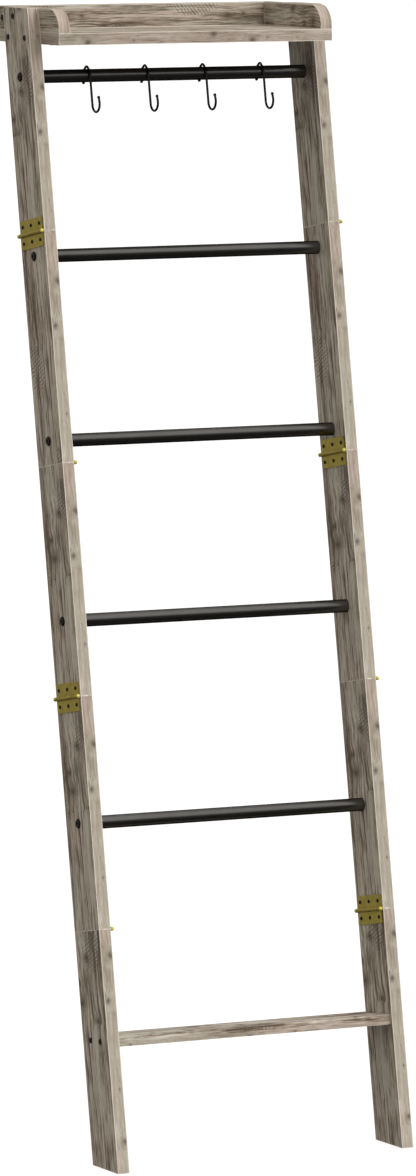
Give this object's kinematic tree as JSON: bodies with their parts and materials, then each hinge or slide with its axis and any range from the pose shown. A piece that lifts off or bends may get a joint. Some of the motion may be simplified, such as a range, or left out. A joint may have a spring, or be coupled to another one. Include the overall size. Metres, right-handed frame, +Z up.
{
  "type": "leaning quilt ladder rack",
  "caption": "Leaning ladder rack for quilts: two wood rails in hinged sections, round steel rungs, a flat crossbar, a shallow tray on top and sliding S-hooks.",
  "frame": {"origin": "on the floor, under the middle of the bounding box of the rack as it leans", "axes": "+Z up, -Y the front, +Y towards the wall, +X to the right as seen from the front"},
  "size_m": [0.5354, 0.4608, 1.8],
  "materials": {
    "board": "matt greige wood-grain print on board",
    "rung_black": "satin black powder coat",
    "hook_black": "gloss black coating",
    "hinge_brass": "yellow passivated plate, satin",
    "screw_black": "black oxide, satin",
    "plug_steel": "bare steel"
  },
  "bodies": {
    "rack": {"left_rail_1": "board", "left_rail_2": "board", "left_rail_3": "board", "left_rail_4": "board", "left_rail_5": "board", "right_rail_1": "board", "right_rail_2": "board", "right_rail_3": "board", "right_rail_4": "board", "right_rail_5": "board", "shelf_board": "board", "tray_back": "board", "tray_side_left": "board", "tray_side_right": "board", "rung_1": "rung_black", "rung_2": "rung_black", "rung_3": "rung_black", "rung_4": "rung_black", "rung_5": "rung_black", "rung_end_plugs": "plug_steel", "crossbar": "board", "left_rung_bolts": "screw_black", "right_rung_bolts": "screw_black", "crossbar_screws": "screw_black", "shelf_screws": "screw_black", "tray_side_screws": "screw_black", "tray_base_screws": "screw_black", "left_hinge_screws": "screw_black", "right_hinge_screws": "screw_black", "left_hinge_1_upper_leaf": "hinge_brass", "left_hinge_1_lower_leaf": "hinge_brass", "left_hinge_2_upper_leaf": "hinge_brass", "left_hinge_2_lower_leaf": "hinge_brass", "left_hinge_3_upper_leaf": "hinge_brass", "left_hinge_3_lower_leaf": "hinge_brass", "left_hinge_4_upper_leaf": "hinge_brass", "left_hinge_4_lower_leaf": "hinge_brass", "right_hinge_1_upper_leaf": "hinge_brass", "right_hinge_1_lower_leaf": "hinge_brass", "right_hinge_2_upper_leaf": "hinge_brass", "right_hinge_2_lower_leaf": "hinge_brass", "right_hinge_3_upper_leaf": "hinge_brass", "right_hinge_3_lower_leaf": "hinge_brass", "right_hinge_4_upper_leaf": "hinge_brass", "right_hinge_4_lower_leaf": "hinge_brass"},
    "hook_1": {"hook_1": "hook_black"},
    "hook_2": {"hook_2": "hook_black"},
    "hook_3": {"hook_3": "hook_black"},
    "hook_4": {"hook_4": "hook_black"},
    "left_hinge_1_pin": {"left_hinge_1_pin": "hinge_brass"},
    "left_hinge_2_pin": {"left_hinge_2_pin": "hinge_brass"},
    "left_hinge_3_pin": {"left_hinge_3_pin": "hinge_brass"},
    "left_hinge_4_pin": {"left_hinge_4_pin": "hinge_brass"},
    "right_hinge_1_pin": {"right_hinge_1_pin": "hinge_brass"},
    "right_hinge_2_pin": {"right_hinge_2_pin": "hinge_brass"},
    "right_hinge_3_pin": {"right_hinge_3_pin": "hinge_brass"},
    "right_hinge_4_pin": {"right_hinge_4_pin": "hinge_brass"}
  },
  "joints": [
    {"name": "hook_1_slide", "type": "slide", "parent": "rack", "child": "hook_1", "axis": [1, 0, 0], "range_m": [-0.085, 0.045]},
    {"name": "hook_2_slide", "type": "slide", "parent": "rack", "child": "hook_2", "axis": [1, 0, 0], "range_m": [-0.045, 0.045]},
    {"name": "hook_3_slide", "type": "slide", "parent": "rack", "child": "hook_3", "axis": [1, 0, 0], "range_m": [-0.045, 0.045]},
    {"name": "hook_4_slide", "type": "slide", "parent": "rack", "child": "hook_4", "axis": [1, 0, 0], "range_m": [-0.045, 0.07]},
    {"name": "left_hinge_1_pin_turn", "type": "hinge", "parent": "rack", "child": "left_hinge_1_pin", "pos_m": [-0.2376, -0.12087, 0.36764], "axis": [0, 0.9848, -0.1736], "continuous": true},
    {"name": "left_hinge_2_pin_turn", "type": "hinge", "parent": "rack", "child": "left_hinge_2_pin", "pos_m": [-0.2644, -0.05739, 0.72764], "axis": [0, 0.9848, -0.1736], "continuous": true},
    {"name": "left_hinge_3_pin_turn", "type": "hinge", "parent": "rack", "child": "left_hinge_3_pin", "pos_m": [-0.2376, 0.00609, 1.08764], "axis": [0, 0.9848, -0.1736], "continuous": true},
    {"name": "left_hinge_4_pin_turn", "type": "hinge", "parent": "rack", "child": "left_hinge_4_pin", "pos_m": [-0.2644, 0.06956, 1.44764], "axis": [0, 0.9848, -0.1736], "continuous": true},
    {"name": "right_hinge_1_pin_turn", "type": "hinge", "parent": "rack", "child": "right_hinge_1_pin", "pos_m": [0.2376, -0.12087, 0.36764], "axis": [0, 0.9848, -0.1736], "continuous": true},
    {"name": "right_hinge_2_pin_turn", "type": "hinge", "parent": "rack", "child": "right_hinge_2_pin", "pos_m": [0.2644, -0.05739, 0.72764], "axis": [0, 0.9848, -0.1736], "continuous": true},
    {"name": "right_hinge_3_pin_turn", "type": "hinge", "parent": "rack", "child": "right_hinge_3_pin", "pos_m": [0.2376, 0.00609, 1.08764], "axis": [0, 0.9848, -0.1736], "continuous": true},
    {"name": "right_hinge_4_pin_turn", "type": "hinge", "parent": "rack", "child": "right_hinge_4_pin", "pos_m": [0.2644, 0.06956, 1.44764], "axis": [0, 0.9848, -0.1736], "continuous": true}
  ]
}
